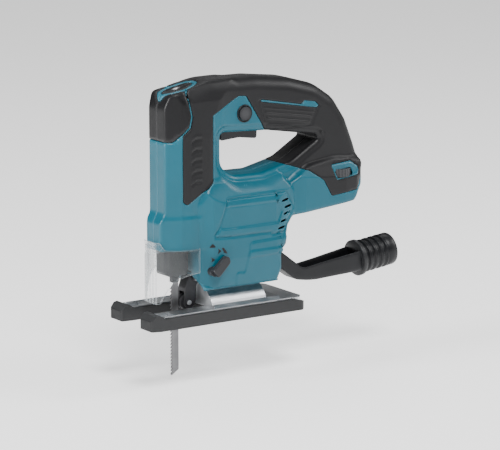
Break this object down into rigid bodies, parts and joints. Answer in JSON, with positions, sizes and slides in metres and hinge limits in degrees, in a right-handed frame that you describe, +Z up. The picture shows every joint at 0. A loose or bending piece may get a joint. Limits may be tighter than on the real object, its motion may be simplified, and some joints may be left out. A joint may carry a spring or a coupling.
{
  "type": "jigsaw",
  "caption": "Cordless jigsaw with a closed D handle, clear dust cover, tilting forked shoe, orbital roller and rear dust nozzle, without its battery.",
  "frame": {"origin": "centre of the shoe on its sole plane", "axes": "+X to the rear along the tool, +Y to the tool's right side, +Z up"},
  "size_m": [0.2623, 0.068, 0.244],
  "materials": {
    "teal_plastic": "glass-filled nylon housing, fine spark texture, satin",
    "grip_rubber": "soft overmoulded elastomer, matt",
    "black_plastic": "black moulded nylon, satin",
    "dark_plastic": "dark grey moulded nylon, satin",
    "steel": "ground and zinc-plated steel",
    "blade_steel": "bright ground saw steel",
    "alloy": "die-cast aluminium, fine cast texture",
    "bronze": "sintered bronze",
    "core_steel": "laminated electrical steel with windings",
    "circuit_board": "glass-fibre board with potted components",
    "clear_plastic": "clear polycarbonate, polished"
  },
  "bodies": {
    "housing": {"housing_left": "teal_plastic", "housing_right": "teal_plastic", "grip_left": "grip_rubber", "grip_right": "grip_rubber", "front_cap": "black_plastic", "housing_screw_1": "steel", "housing_screw_2": "steel", "housing_screw_3": "steel", "housing_screw_4": "steel", "housing_screw_5": "steel", "stator": "core_steel", "motor_bearing_front": "steel", "motor_bearing_rear": "steel", "gear_axle": "steel", "gear_frame": "alloy", "plunger_bush_upper": "bronze", "plunger_bush_lower": "bronze", "blade_shroud": "black_plastic", "lamp_lens": "clear_plastic", "base_saddle": "alloy", "dust_nozzle": "black_plastic", "switch_body": "dark_plastic", "trigger_spring": "steel", "controller_board": "circuit_board", "terminal_block": "dark_plastic", "arm_pivot_pin": "steel"},
    "rotor": {"rotor": "steel", "cooling_fan": "dark_plastic", "pinion": "steel"},
    "crank": {"crank_gear": "steel"},
    "plunger": {"plunger": "steel", "blade_clamp": "dark_plastic", "saw_blade": "blade_steel"},
    "roller_arm": {"orbital_arm": "black_plastic", "roller_pin": "steel"},
    "roller": {"blade_roller": "steel"},
    "orbit_lever": {"orbit_lever": "dark_plastic"},
    "trigger": {"trigger": "dark_plastic"},
    "lock_button": {"lock_button": "dark_plastic"},
    "speed_dial": {"speed_dial": "dark_plastic"},
    "dust_cover": {"dust_cover": "clear_plastic"},
    "shoe_clamp": {"clamp_plate": "steel", "clamp_bolt": "steel"},
    "shoe": {"base_plate": "alloy", "cover_plate": "black_plastic"}
  },
  "joints": [
    {"name": "trigger_pull", "type": "slide", "parent": "housing", "child": "trigger", "axis": [0, 0, 1], "range_m": [0, 0.0055], "stiffness_N_per_m": 600, "springref_m": -0.003, "deforming": ["trigger_spring"]},
    {"name": "lock_press", "type": "slide", "parent": "housing", "child": "lock_button", "axis": [0, 1, 0], "range_m": [0, 0.0035], "stiffness_N_per_m": 300, "springref_m": -0.002},
    {"name": "speed_dial_turn", "type": "hinge", "parent": "housing", "child": "speed_dial", "pos_m": [0.1186, -0.0156, 0.109], "axis": [0, 0, 1], "range_deg": [-150, 150]},
    {"name": "orbit_lever_turn", "type": "hinge", "parent": "housing", "child": "orbit_lever", "pos_m": [-0.013, -0.0285, 0.0415], "axis": [0, 1, 0], "range_deg": [-75, 15]},
    {"name": "roller_arm_swing", "type": "hinge", "parent": "housing", "child": "roller_arm", "pos_m": [-0.018, 0, 0.033], "axis": [0, 1, 0], "range_deg": [-4, 4]},
    {"name": "roller_spin", "type": "hinge", "parent": "roller_arm", "child": "roller", "pos_m": [-0.0231, 0, 0.013], "axis": [0, 1, 0], "continuous": true},
    {"name": "blade_stroke", "type": "slide", "parent": "housing", "child": "plunger", "axis": [0, 0, 1], "range_m": [-0.009, 0.009]},
    {"name": "rotor_spin", "type": "hinge", "parent": "housing", "child": "rotor", "pos_m": [0, 0, 0.0896], "axis": [1, 0, 0], "continuous": true},
    {"name": "crank_spin", "type": "hinge", "parent": "housing", "child": "crank", "pos_m": [0, 0, 0.068], "axis": [1, 0, 0], "continuous": true},
    {"name": "dust_cover_slide", "type": "slide", "parent": "housing", "child": "dust_cover", "axis": [0, 0, 1], "range_m": [0, 0.018]},
    {"name": "shoe_slide", "type": "slide", "parent": "housing", "child": "shoe_clamp", "axis": [1, 0, 0], "range_m": [0, 0.006]},
    {"name": "shoe_tilt", "type": "hinge", "parent": "shoe_clamp", "child": "shoe", "pos_m": [0, 0, 0], "axis": [1, 0, 0], "range_deg": [-20, 20]}
  ],
  "couplings": [
    {"joint": "crank_spin", "follows": "rotor_spin", "ratio": -0.2}
  ]
}
